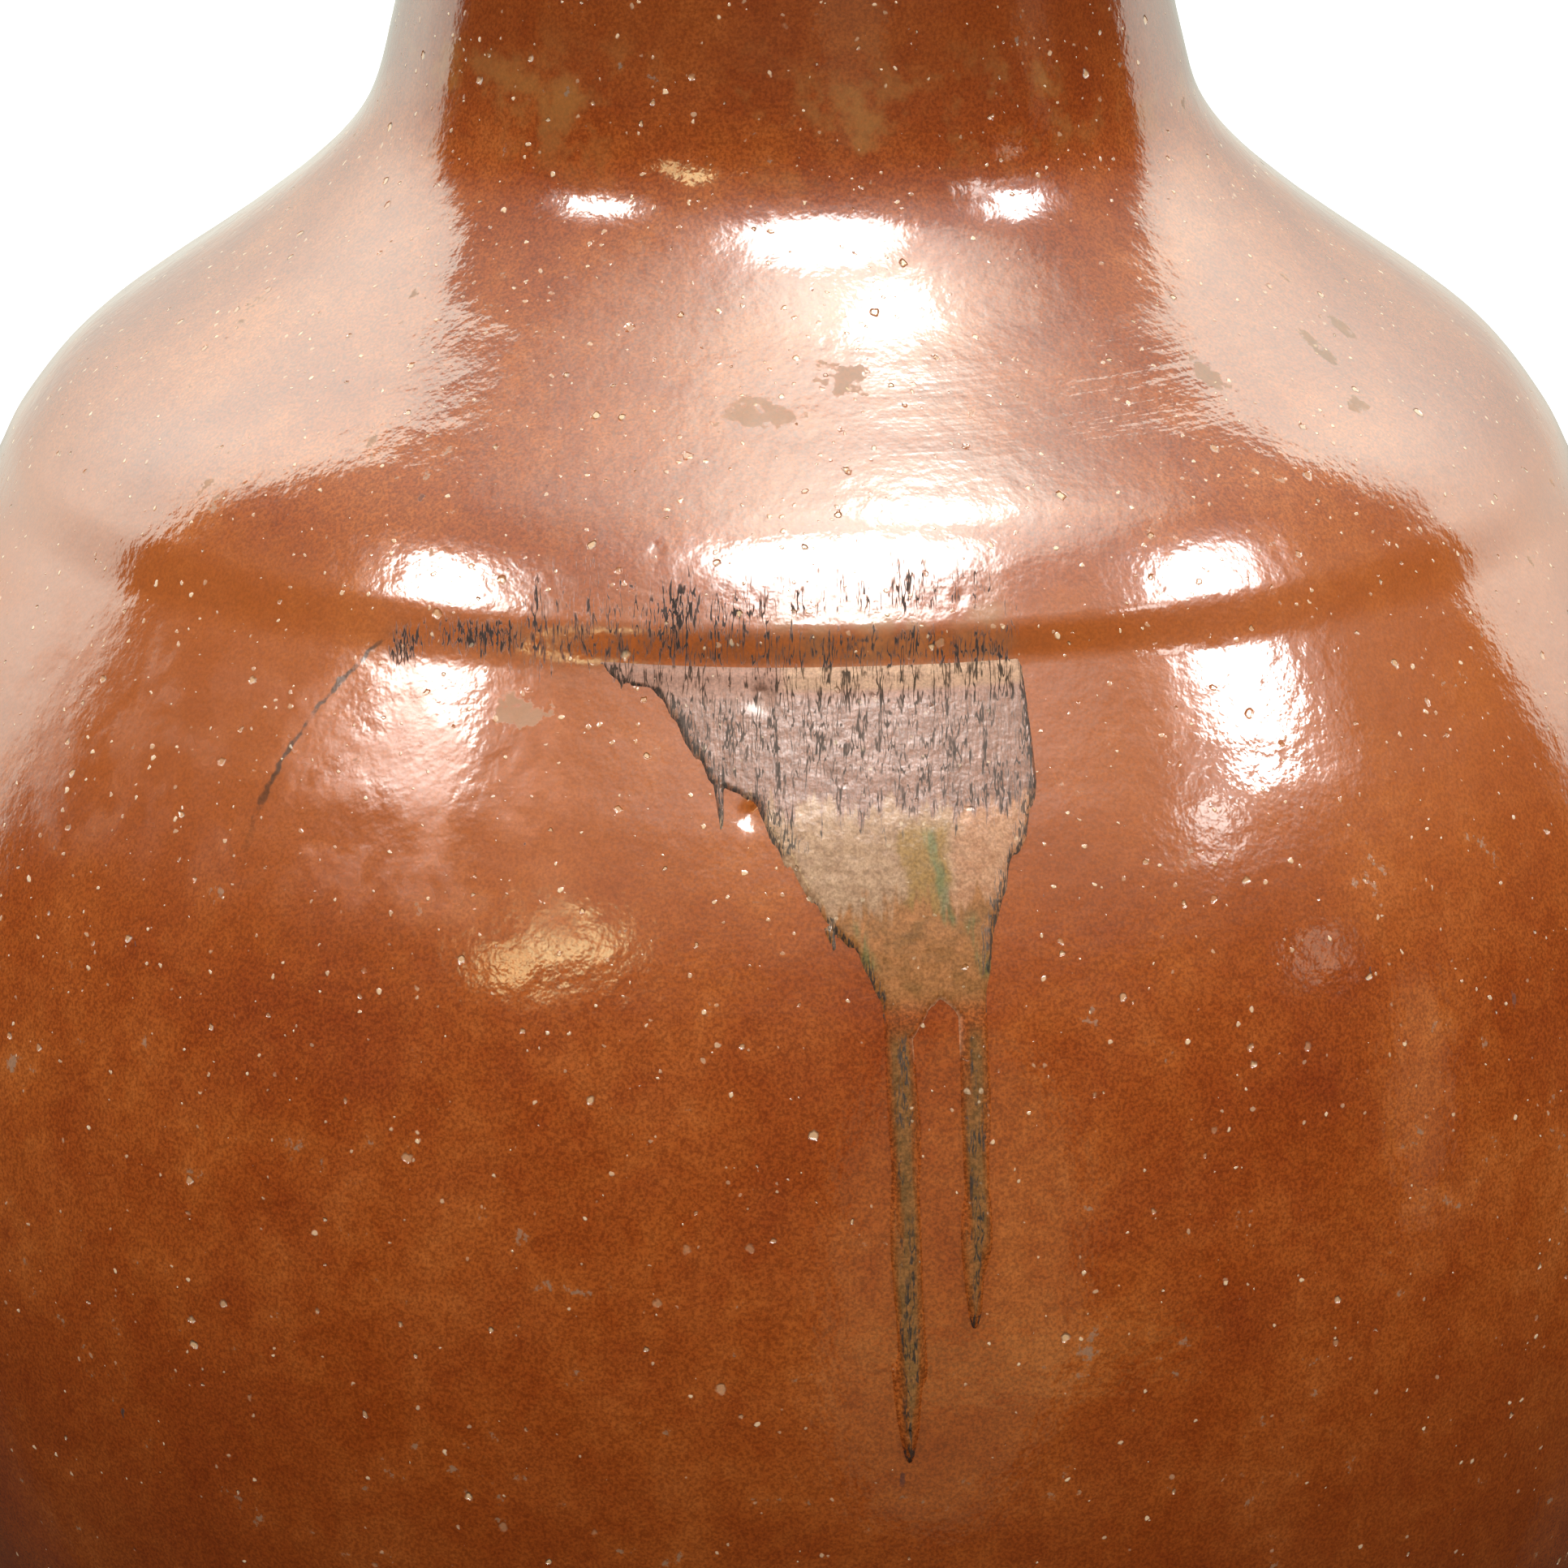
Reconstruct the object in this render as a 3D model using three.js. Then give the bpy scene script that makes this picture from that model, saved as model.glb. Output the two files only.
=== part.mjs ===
// A stoneware sake bottle in the sections that a potter throws and lutes together,
// with the run of melted ash on its front and the turned stopper that closes it.
// Millimetres, +Z up, the origin at the centre of the foot, the front towards -Y.
import * as THREE from 'three';

// Driving dimensions: radii and heights of the outside
const FOOT_RADIUS = 48;
const BELLY_RADIUS = 79.5;
const BELLY_HEIGHT = 72;
const GROOVE_HEIGHT = 119.4;
const GROOVE_DEPTH = 0.9;
const GROOVE_HALF = 2.1;
const SHOULDER_FOOT_RADIUS = 62.2;
const SHOULDER_FOOT = 121.5;
const SHOULDER_BEND_RADIUS = 48.4;
const SHOULDER_BEND = 134.5;
const NECK_FOOT_RADIUS = 32.2;
const NECK_FOOT = 152;
const WAIST_RADIUS = 27.6;
const WAIST_HEIGHT = 186;
const LIP_FOOT_RADIUS = 31;
const LIP_FOOT = 203;
const LIP_RADIUS = 33.8;
const LIP_HEIGHT = 12;
const LIP_TOP = LIP_FOOT + LIP_HEIGHT;

// Driving dimensions: wall, floor and mouth
const WALL = 5.7;
const FLOOR = 8;
const FOOT_RIM = 9;
const FOOT_RECESS = 1.6;
const MOUTH_RADIUS = 22.8;
const MOUTH_HEIGHT = 208.5;
const SEAT_INNER = 26.6;
const SEAT_OUTER = 30;

// Driving dimensions: ash run, with its angles in degrees from the front
const RUN_TOP = 118.4;
const RUN_TOP_LEFT = -12.6;
const RUN_TOP_RIGHT = 17;
const CROTCH = 95;
const CROTCH_LEFT = 5.6;
const CROTCH_RIGHT = 11.7;
const DRIP_WIDTH = 2;
const LONG_DRIP = { first: 0, from: CROTCH_LEFT, tipAngle: 7.1, tip: 60 };
const SHORT_DRIP = { first: 5, from: CROTCH_RIGHT - DRIP_WIDTH, tipAngle: 10.6, tip: 70 };
const DRIP_COLUMNS = 3;
const SHEET_ROWS = 6;
const DRIP_ROWS = 6;
const RUN_GAP = 0.3;
const RUN_THICKNESS = 0.6;

// Driving dimensions: stopper
const PLUG_BOTTOM = 190;
const PLUG_BEVEL = 1.5;
const PLUG_CLEARANCE = 0.6;
const HEAD_RADIUS = 29.4;
const GRIP_RADIUS = 21.5;
const HEAD_HEIGHT = 19;

const RIM_SEGMENTS = 48;
const CURVE_POINTS = 24;

// Outside of the vessel, from the foot to the underside of the lip
const outside = new THREE.Path()
  .moveTo(FOOT_RADIUS, 0)
  .bezierCurveTo(FOOT_RADIUS + 28.5, 28, BELLY_RADIUS, 60.5, BELLY_RADIUS, BELLY_HEIGHT)
  .bezierCurveTo(BELLY_RADIUS, 92.4, 74.2, 103.4, SHOULDER_FOOT_RADIUS, SHOULDER_FOOT)
  .bezierCurveTo(58.2, 127.6, 57.2, 128.3, SHOULDER_BEND_RADIUS, SHOULDER_BEND)
  .bezierCurveTo(34.4, 144.3, 33.3, 147.7, NECK_FOOT_RADIUS, NECK_FOOT)
  .bezierCurveTo(30.8, 158, WAIST_RADIUS, 172, WAIST_RADIUS, WAIST_HEIGHT)
  .bezierCurveTo(WAIST_RADIUS, 193, 28.4, 199, LIP_FOOT_RADIUS, LIP_FOOT);

// Inside of the vessel, from the floor to the mouth
const inside = new THREE.Path()
  .moveTo(FOOT_RADIUS - 4, FLOOR)
  .bezierCurveTo(67, 30, BELLY_RADIUS - WALL, 57, BELLY_RADIUS - WALL, BELLY_HEIGHT)
  .bezierCurveTo(BELLY_RADIUS - WALL, 94.3, 66.6, 103.7, 57.5, 118.4)
  .bezierCurveTo(52.9, 125.3, 51.3, 125, 45, 130)
  .bezierCurveTo(40, 133.9, 29.3, 139.6, NECK_FOOT_RADIUS - WALL, NECK_FOOT - 1.1)
  .bezierCurveTo(25, 157, WAIST_RADIUS - WALL, 169, WAIST_RADIUS - WALL, WAIST_HEIGHT)
  .bezierCurveTo(WAIST_RADIUS - WALL, 194, 22.2, 201, MOUTH_RADIUS, MOUTH_HEIGHT);

// Heights of the joints between the luted sections
const BELLY_JOINT = 64;
const joints = [FLOOR, BELLY_JOINT, GROOVE_HEIGHT, NECK_FOOT, LIP_FOOT];

function clay(color, roughness) {
  return new THREE.MeshStandardMaterial({ color, roughness, metalness: 0 });
}

const bareClay = clay(0x8a5638, 0.85);
const redSlip = clay(0xa35226, 0.15);
const ashGlaze = clay(0x8f7f63, 0.45);
const turnedWood = clay(0x9a6b3e, 0.6);

// Radius of a path at a height, on straight lines between close points
function radiusAt(path, height) {
  const points = path.getPoints(CURVE_POINTS);
  const above = points.findIndex((point) => point.y >= height);
  const high = points[Math.max(above, 1)];
  const low = points[Math.max(above, 1) - 1];
  const share = high.y === low.y ? 0 : (height - low.y) / (high.y - low.y);
  return THREE.MathUtils.lerp(low.x, high.x, share);
}

// Points of a path between two heights, in equal steps of height
function stretch(path, from, to, steps) {
  return Array.from({ length: steps + 1 }, (_, step) => {
    const height = THREE.MathUtils.lerp(from, to, step / steps);
    return new THREE.Vector2(radiusAt(path, height), height);
  });
}

// A solid of revolution about +Z
function turned(profile) {
  const geometry = new THREE.LatheGeometry(profile, RIM_SEGMENTS);
  geometry.rotateX(Math.PI / 2);
  return geometry;
}

// A ring of wall whose outside is given and whose inside runs back down the cavity
function wallRing(outer, innerSteps) {
  const from = outer[0].y;
  const to = outer[outer.length - 1].y;
  const inner = stretch(inside, to, from, innerSteps);
  return turned([...outer, ...inner, outer[0].clone()]);
}

function named(name, geometry, material) {
  const mesh = new THREE.Mesh(geometry, material);
  mesh.name = name;
  return mesh;
}

// The slab stands on a flat rim around a shallow recess
function baseDisc() {
  const rimInner = FOOT_RADIUS - FOOT_RIM;
  const profile = [
    new THREE.Vector2(0, FOOT_RECESS),
    new THREE.Vector2(rimInner - FOOT_RECESS, FOOT_RECESS),
    new THREE.Vector2(rimInner, 0),
    ...stretch(outside, 0, FLOOR, 3),
    new THREE.Vector2(0, FLOOR),
  ];
  return named('base_disc', turned(profile), bareClay);
}

// The body and the shoulder meet at the bottom of the groove
function wallSections() {
  const [floor, belly, groove, neckFoot, lipFoot] = joints;
  const bottom = new THREE.Vector2(radiusAt(outside, groove) - GROOVE_DEPTH, groove);
  const lower = stretch(outside, floor, belly, 8);
  const upper = [...stretch(outside, belly, groove - GROOVE_HALF, 8), bottom];
  const dome = [bottom, ...stretch(outside, groove + GROOVE_HALF, neckFoot, 12)];
  const collar = stretch(outside, neckFoot, lipFoot, 8);
  return [
    named('lower_body', wallRing(lower, 5), redSlip),
    named('upper_body', wallRing(upper, 5), redSlip),
    named('shoulder', wallRing(dome, 7), redSlip),
    named('neck', wallRing(collar, 5), redSlip),
  ];
}

// The rim is rolled outwards and has a narrow flat seat on top
function lipRing() {
  const widest = LIP_FOOT + LIP_HEIGHT / 2;
  const bead = new THREE.Path()
    .moveTo(LIP_FOOT_RADIUS, LIP_FOOT)
    .bezierCurveTo(LIP_FOOT_RADIUS + 1.4, LIP_FOOT + 1.4, LIP_RADIUS, LIP_FOOT + 3, LIP_RADIUS, widest)
    .bezierCurveTo(LIP_RADIUS, LIP_TOP - 3, LIP_RADIUS - 0.9, LIP_TOP - 0.8, SEAT_OUTER, LIP_TOP);
  const throat = new THREE.Path()
    .moveTo(SEAT_INNER, LIP_TOP)
    .bezierCurveTo(24.8, LIP_TOP - 0.4, 23.5, LIP_TOP - 2.6, MOUTH_RADIUS, MOUTH_HEIGHT);
  const outer = bead.getPoints(4);
  const throatPoints = throat.getPoints(4);
  const bottom = new THREE.Vector2(radiusAt(inside, LIP_FOOT), LIP_FOOT);
  return named('lip_ring', turned([...outer, ...throatPoints, bottom, outer[0].clone()]), redSlip);
}

// Left and right edge of the ash at a height
function runEdges(height) {
  const share = (height - CROTCH) / (RUN_TOP - CROTCH);
  const left = THREE.MathUtils.lerp(CROTCH_LEFT, RUN_TOP_LEFT, share ** 1.15);
  const right = THREE.MathUtils.lerp(CROTCH_RIGHT, RUN_TOP_RIGHT, share ** 0.6);
  return [left, right];
}

// The sheet of ash narrows downwards and parts into two drips
function ashRun() {
  const shares = [0, 0.12, 0.23, 0.33, 0.5, 0.67, 0.78, 0.88, 1];
  const grid = [];
  for (let row = 0; row <= SHEET_ROWS; row += 1) {
    const height = THREE.MathUtils.lerp(RUN_TOP, CROTCH, row / SHEET_ROWS);
    const [left, right] = runEdges(height);
    grid.push(shares.map((share) => [THREE.MathUtils.lerp(left, right, share), height]));
  }
  layDrip(grid, LONG_DRIP);
  layDrip(grid, SHORT_DRIP);
  return named('ash_run', skinBody(grid), ashGlaze);
}

// Adds one drip's rows below the sheet, tapering to its tip
function layDrip(grid, drip) {
  for (let row = 1; row <= DRIP_ROWS; row += 1) {
    const share = row / DRIP_ROWS;
    const half = (DRIP_WIDTH / 2) * Math.sqrt(1.06 - share);
    const middle = THREE.MathUtils.lerp(drip.from + DRIP_WIDTH / 2, drip.tipAngle, share);
    const height = THREE.MathUtils.lerp(CROTCH, drip.tip, share);
    const line = grid[SHEET_ROWS + row] ?? [];
    for (let column = 0; column <= DRIP_COLUMNS; column += 1) {
      line[drip.first + column] = [middle + half * ((2 * column) / DRIP_COLUMNS - 1), height];
    }
    grid[SHEET_ROWS + row] = line;
  }
}

// A closed skin that follows the wall over every cell of a grid whose four corners exist
function skinBody(grid) {
  const positions = [];
  const triangles = [];
  const index = new Map();
  const vertex = (row, column, lift) => {
    const key = `${row},${column},${lift}`;
    if (!index.has(key)) {
      const [degrees, height] = grid[row][column];
      const angle = THREE.MathUtils.degToRad(degrees);
      const radius = radiusAt(outside, height) + lift;
      index.set(key, positions.length / 3);
      positions.push(radius * Math.sin(angle), -radius * Math.cos(angle), height);
    }
    return index.get(key);
  };
  const exists = (row, column) => Boolean(grid[row]?.[column]);
  const cell = (row, column) => exists(row, column) && exists(row, column + 1)
    && exists(row + 1, column) && exists(row + 1, column + 1);
  const quad = (a, b, c, d) => triangles.push(a, b, c, a, c, d);
  const high = RUN_GAP + RUN_THICKNESS;
  const side = (from, to) => {
    quad(vertex(...from, high), vertex(...from, RUN_GAP), vertex(...to, RUN_GAP), vertex(...to, high));
  };
  grid.forEach((line, row) => line.forEach((_, column) => {
    if (!cell(row, column)) {
      return;
    }
    const corners = [[row, column], [row + 1, column], [row + 1, column + 1], [row, column + 1]];
    quad(...corners.map((corner) => vertex(...corner, high)));
    quad(...corners.map((corner) => vertex(...corner, RUN_GAP)).reverse());
    const neighbours = [[row, column - 1], [row + 1, column], [row, column + 1], [row - 1, column]];
    neighbours.forEach((neighbour, edge) => {
      if (!cell(...neighbour)) {
        side(corners[edge], corners[(edge + 1) % 4]);
      }
    });
  }));
  const geometry = new THREE.BufferGeometry();
  geometry.setAttribute('position', new THREE.Float32BufferAttribute(positions, 3));
  geometry.setIndex(triangles);
  geometry.computeVertexNormals();
  return geometry;
}

// A tapered plug under a waisted head, whose foot rests on the rim's flat seat
function stopper() {
  const clear = (height) => radiusAt(inside, height) - PLUG_CLEARANCE;
  const grip = GRIP_RADIUS;
  const headTop = LIP_TOP + HEAD_HEIGHT;
  const crown = new THREE.Path()
    .moveTo(HEAD_RADIUS, LIP_TOP)
    .bezierCurveTo(HEAD_RADIUS + 0.8, LIP_TOP + 3, grip + 2, LIP_TOP + 4, grip, LIP_TOP + 8.5)
    .bezierCurveTo(grip - 1, LIP_TOP + 12, grip + 4, LIP_TOP + 13, grip + 3, LIP_TOP + 15.5)
    .bezierCurveTo(grip + 1, headTop - 0.5, 12, headTop, 0, headTop);
  const profile = [
    new THREE.Vector2(0, PLUG_BOTTOM),
    new THREE.Vector2(clear(PLUG_BOTTOM) - PLUG_BEVEL, PLUG_BOTTOM),
    new THREE.Vector2(clear(PLUG_BOTTOM), PLUG_BOTTOM + PLUG_BEVEL),
    new THREE.Vector2(clear(MOUTH_HEIGHT), MOUTH_HEIGHT),
    new THREE.Vector2(clear(MOUTH_HEIGHT), LIP_TOP),
    ...crown.getPoints(4),
  ];
  return named('stopper', turned(profile), turnedWood);
}

const sakeBottle = new THREE.Group();
sakeBottle.add(baseDisc(), ...wallSections(), lipRing(), ashRun(), stopper());

export default sakeBottle;
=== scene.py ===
"""A glazed stoneware sake bottle: luted wall sections, an ash run and a turned stopper.

Lengths are millimetres until a mesh is made, and angles are degrees around the axis, from
the front, towards +X. The bottle's front faces -Y.
"""

import math

import bpy
import numpy as np
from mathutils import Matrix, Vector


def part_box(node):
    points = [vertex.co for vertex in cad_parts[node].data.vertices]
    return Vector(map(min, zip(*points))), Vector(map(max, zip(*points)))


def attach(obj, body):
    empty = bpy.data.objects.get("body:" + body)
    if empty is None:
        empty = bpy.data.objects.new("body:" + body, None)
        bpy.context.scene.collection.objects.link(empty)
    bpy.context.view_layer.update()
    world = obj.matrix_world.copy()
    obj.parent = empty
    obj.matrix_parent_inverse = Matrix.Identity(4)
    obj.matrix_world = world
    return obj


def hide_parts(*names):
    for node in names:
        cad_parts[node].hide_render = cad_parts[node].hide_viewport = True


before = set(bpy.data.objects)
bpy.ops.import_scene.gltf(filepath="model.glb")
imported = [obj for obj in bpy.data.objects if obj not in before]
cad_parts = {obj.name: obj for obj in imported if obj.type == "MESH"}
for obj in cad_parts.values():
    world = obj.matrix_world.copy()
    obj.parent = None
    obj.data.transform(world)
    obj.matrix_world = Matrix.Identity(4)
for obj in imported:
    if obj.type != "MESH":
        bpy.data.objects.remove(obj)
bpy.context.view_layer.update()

MM = 0.001


def low(node):
    """Height of a CAD node's lowest point."""
    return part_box(node)[0].z / MM


def high(node):
    """Height of a CAD node's highest point."""
    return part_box(node)[1].z / MM


# Heights of the luted joints and the sizes that the frame gives
FLOOR = low("lower_body")
BELLY_JOINT = low("upper_body")
GROOVE = low("shoulder")
NECK_FOOT = low("neck")
LIP_FOOT = low("lip_ring")
LIP_TOP = high("lip_ring")
PLUG_BOTTOM = low("stopper")
STOPPER_TOP = high("stopper")
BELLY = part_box("upper_body")[1].x / MM
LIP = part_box("lip_ring")[1].x / MM
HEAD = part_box("stopper")[1].x / MM

# Outline: radii and heights that the curves run through
FOOT = 48
BELLY_HEIGHT = 72
SHOULDER_FOOT = (62.2, 121.5)
BEND = (48.4, 134.5)
NECK_RADIUS = 32.2
WAIST = (27.6, 186)
LIP_FOOT_RADIUS = 31
WALL = 5.7
FOOT_RIM = 9
RECESS = 1.6
MOUTH = (22.8, 208.5)
SEAT = (26.6, 30)
GRIP = 21.5

# Fineness of the meshes
ROW_STEP = 0.65
INNER_STEP = 2.6
FRONT_STEP = 0.5
BACK_STEP = 0.9
FRONT_HALF = 100
CURVE_STEPS = 80
LINE_STEPS = 40


# ---- outlines


def bezier(start, first, second, end):
    """Points of a cubic curve, without its first point."""
    t = np.linspace(0, 1, CURVE_STEPS + 1)[1:, None]
    start, first, second, end = (np.array(p, float) for p in (start, first, second, end))
    return (1 - t) ** 3 * start + 3 * (1 - t) ** 2 * t * first + 3 * (1 - t) * t**2 * second + t**3 * end


class Outline:
    """Radius and height along a line, by arc length, with its corners slightly rounded."""

    STEP = 0.1

    def __init__(self, start, *arcs, blur=0.5):
        line = [np.array([start], float)]
        for arc in arcs:
            end = line[-1][-1]
            line.append(bezier(end, *arc) if len(arc) == 3 else self.straight(end, arc[0]))
        line = np.concatenate(line)
        length = np.concatenate([[0], np.cumsum(np.hypot(*np.diff(line, axis=0).T))])
        self.s = np.arange(0, length[-1], self.STEP)
        self.r = self.smooth(np.interp(self.s, length, line[:, 0]), blur)
        self.z = self.smooth(np.interp(self.s, length, line[:, 1]), blur)
        self.slope_r = np.gradient(self.r, self.s)
        self.slope_z = np.gradient(self.z, self.s)

    @staticmethod
    def straight(start, end):
        """Points of a straight line, without its first point."""
        t = np.linspace(0, 1, LINE_STEPS + 1)[1:, None]
        return (1 - t) * np.array(start) + t * np.array(end, float)

    def smooth(self, values, blur):
        """Values blurred along the line, with its ends kept in place."""
        reach = int(4 * blur / self.STEP)
        weights = np.exp(-0.5 * (np.arange(-reach, reach + 1) * self.STEP / blur) ** 2)
        first = 2 * values[0] - values[reach:0:-1]
        last = 2 * values[-1] - values[-2:-reach - 2:-1]
        return np.convolve(np.concatenate([first, values, last]), weights / weights.sum(), "valid")

    def at_height(self, height):
        """Arc length where a rising outline reaches a height."""
        return float(np.interp(height, self.z, self.s))

    def frame(self, s):
        """Radius, height and outward normal at arc lengths s."""
        r = np.interp(s, self.s, self.r)
        z = np.interp(s, self.s, self.z)
        slope_r = np.interp(s, self.s, self.slope_r)
        slope_z = np.interp(s, self.s, self.slope_z)
        return r, z, slope_z, -slope_r


outside = Outline(
    (FOOT, 0),
    ((FOOT + 28.5, 28), (BELLY, 60.5), (BELLY, BELLY_HEIGHT)),
    ((BELLY, 92.4), (74.2, 103.4), SHOULDER_FOOT),
    ((58.2, 127.6), (57.2, 128.3), BEND),
    ((34.4, 144.3), (33.3, 147.7), (NECK_RADIUS, NECK_FOOT)),
    ((30.8, 158), (WAIST[0], 172), WAIST),
    ((WAIST[0], 193), (28.4, 199), (LIP_FOOT_RADIUS, LIP_FOOT)),
    ((LIP_FOOT_RADIUS + 1.4, LIP_FOOT + 1.4), (LIP, LIP_FOOT + 3), (LIP, LIP_FOOT + 6)),
    ((LIP, LIP_TOP - 3), (LIP - 0.9, LIP_TOP - 0.8), (SEAT[1], LIP_TOP)),
)
inside = Outline(
    (FOOT - 4, FLOOR),
    ((67, 30), (BELLY - WALL, 57), (BELLY - WALL, BELLY_HEIGHT)),
    ((BELLY - WALL, 94.3), (66.6, 103.7), (57.5, 118.4)),
    ((52.9, 125.3), (51.3, 125), (45, 130)),
    ((40, 133.9), (29.3, 139.6), (NECK_RADIUS - WALL, NECK_FOOT - 1.1)),
    ((25, 157), (WAIST[0] - WALL, 169), (WAIST[0] - WALL, WAIST[1])),
    ((WAIST[0] - WALL, 194), (22.2, 201), MOUTH),
)
throat = Outline(
    (SEAT[1], LIP_TOP),
    ((SEAT[0], LIP_TOP),),
    ((24.8, LIP_TOP - 0.4), (23.5, LIP_TOP - 2.6), MOUTH),
    ((22, LIP_FOOT),),
    blur=0.3,
)
foot = Outline(
    (0, RECESS),
    ((FOOT - FOOT_RIM - RECESS, RECESS),),
    ((FOOT - FOOT_RIM, 0),),
    ((FOOT - 1.2, 0),),
    blur=0.3,
)
headline = Outline(
    (0, PLUG_BOTTOM),
    ((18.6, PLUG_BOTTOM),),
    ((20.1, PLUG_BOTTOM + 1.5),),
    ((MOUTH[0] - 0.6, MOUTH[1]),),
    ((MOUTH[0] - 0.6, LIP_TOP),),
    ((HEAD - 0.3, LIP_TOP),),
    ((HEAD + 0.8, LIP_TOP + 3), (GRIP + 2, LIP_TOP + 4), (GRIP, LIP_TOP + 8.5)),
    ((GRIP - 1, LIP_TOP + 12), (GRIP + 4, LIP_TOP + 13), (GRIP + 3, LIP_TOP + 15.5)),
    ((GRIP + 1, STOPPER_TOP - 0.5), (12, STOPPER_TOP), (0, STOPPER_TOP)),
    blur=0.25,
)


# ---- relief of the wall


def smoothstep(value, start, end):
    """0 before the start, 1 after the end, with a soft change between them."""
    t = np.clip((value - start) / (end - start), 0, 1)
    return t * t * (3 - 2 * t)


def hill(value, foot_in, top_in, top_out, foot_out):
    """Soft rise from 0 to 1 and soft fall back to 0."""
    return smoothstep(value, foot_in, top_in) * (1 - smoothstep(value, top_out, foot_out))


def waves(seed, count, shortest, longest):
    """Seeded plane waves: wave vectors and phases, from the longest to the shortest length."""
    rng = np.random.default_rng(seed)
    direction = rng.normal(size=(count, 3))
    direction /= np.linalg.norm(direction, axis=1)[:, None]
    length = np.geomspace(longest, shortest, count)
    return direction * (2 * np.pi / length)[:, None], rng.uniform(0, 2 * np.pi, count)


def ripple(point, family):
    """Sum of plane waves at points, about -1 to 1."""
    total = np.zeros(point[0].shape)
    for vector, phase in zip(*family):
        total += np.sin(vector[0] * point[0] + vector[1] * point[1] + vector[2] * point[2] + phase)
    return total / math.sqrt(len(family[1]))


# Slow unevenness of a hand-made wall, dimples in the glaze, and throwing ridges: length and phase
HAND = waves(3, 7, 45, 110)
DIMPLES = waves(11, 22, 9, 26)
THROWING = ((5.1, 0.9), (7.9, 2.1), (12.3, 4.0))
HAND_DEPTH = 0.16
DIMPLE_DEPTH = 0.02
THROWING_DEPTH = 0.006
# The groove: a short steep wall under the shoulder, which stands a little over the body
GROOVE_CUT = 0.55
GROOVE_RISE = 0.4
GROOVE_BED = GROOVE - 0.6
GROOVE_WALL = 2.4
GROOVE_RETURN = 13
RISE_RETURN = 9
# Away from the front it is shallower, wider and a little lower
GROOVE_FRONT = 5
GROOVE_FRONT_HALF = 22
GROOVE_SIDE_SHARE = 0.6
GROOVE_SIDE_WIDER = 2
GROOVE_SIDE_DROP = 1.3
# Sunken blisters in the glaze: angle, height, radius and depth
BLISTERS = (
    (-1.6, 116.8, 1.15, 0.22),
    (-2.1, 108.8, 1.2, 0.26),
    (-9.5, 126.3, 0.6, 0.06),
    (12.6, 122.9, 0.7, 0.05),
)


def fade(distance, reach):
    """1 up to a distance of 0, then falling off over the reach."""
    return np.exp(-((np.maximum(distance, 0) / reach) ** 2))


def groove_relief(height, theta):
    """The shoulder's rise above the groove and the body's cut below it."""
    front = np.exp(-(((theta - GROOVE_FRONT) / GROOVE_FRONT_HALF) ** 4))
    bed = GROOVE_BED - GROOVE_SIDE_DROP * (1 - front)
    wall = smoothstep((height - bed) / (GROOVE_WALL + GROOVE_SIDE_WIDER * (1 - front)), 0, 1)
    below = GROOVE_CUT * (1 - wall) * fade(GROOVE_BED - height, GROOVE_RETURN)
    above = GROOVE_RISE * wall * fade(height - GROOVE_BED - GROOVE_WALL, RISE_RETURN)
    return (above - below) * (GROOVE_SIDE_SHARE + (1 - GROOVE_SIDE_SHARE) * front)


def wall_relief(point, theta, s):
    """How far the glazed skin stands off the outline."""
    height = point[2]
    free = hill(height, 2, 16, LIP_TOP - 14, LIP_TOP - 4)
    lift = HAND_DEPTH * ripple(point, HAND) + DIMPLE_DEPTH * ripple(point, DIMPLES)
    for length, phase in THROWING:
        lift += THROWING_DEPTH * np.sin(2 * np.pi * (s + theta / 360 * length) / length + phase)
    lift += groove_relief(height, theta)
    for angle, middle, radius, depth in BLISTERS:
        aside = np.radians(theta - angle) * np.hypot(point[0], point[1]) / radius
        above = (height - middle) / radius
        lift -= depth * np.exp(-2.2 * (aside**2 + above**2))
        lift -= 0.9 * depth * np.exp(-9 * aside**2 - 30 * (above - 0.45) ** 2)
    return lift * free


def plain_relief(point, theta, s):
    """Throwing ridges inside the wall, which nobody smoothed."""
    return 0.12 * np.sin(2 * np.pi * (s + theta / 60) / 6.5)


def no_relief(point, theta, s):
    """A plain turned surface."""
    return np.zeros(point[0].shape)


def skin(outline, s, theta, relief):
    """Points of a revolved outline with its relief, as an array of rows by columns by 3."""
    r, z, normal_r, normal_z = (value[:, None] for value in outline.frame(s))
    angle = np.radians(theta)[None, :]
    point = (r * np.sin(angle), -r * np.cos(angle), z + 0 * angle)
    lift = relief(point, theta[None, :] + 0 * z, s[:, None] + 0 * angle)
    radius = r + normal_r * lift
    return np.stack([radius * np.sin(angle), -radius * np.cos(angle), z + normal_z * lift], axis=2)


def skin_normals(outline, s, theta, relief, side):
    """Normals of the same points, from their neighbours along and around; side -1 turns them over."""
    along = skin(outline, s + 0.15, theta, relief) - skin(outline, s - 0.15, theta, relief)
    around = skin(outline, s, theta + 0.1, relief) - skin(outline, s, theta - 0.1, relief)
    normal = np.cross(around, along) * side
    return normal / np.maximum(np.linalg.norm(normal, axis=2, keepdims=True), 1e-9)


def rows(start, end, step):
    """Arc lengths of the mesh rows."""
    return np.linspace(start, end, max(2, math.ceil(abs(end - start) / step)) + 1)


def columns():
    """Angles of the mesh columns, closer together on the front."""
    near = np.arange(-FRONT_HALF, FRONT_HALF, FRONT_STEP)
    far_count = round((360 - 2 * FRONT_HALF) / BACK_STEP)
    far = np.linspace(FRONT_HALF, 360 - FRONT_HALF, far_count + 1)[:-1]
    return np.concatenate([near, far])


# ---- meshes


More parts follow.
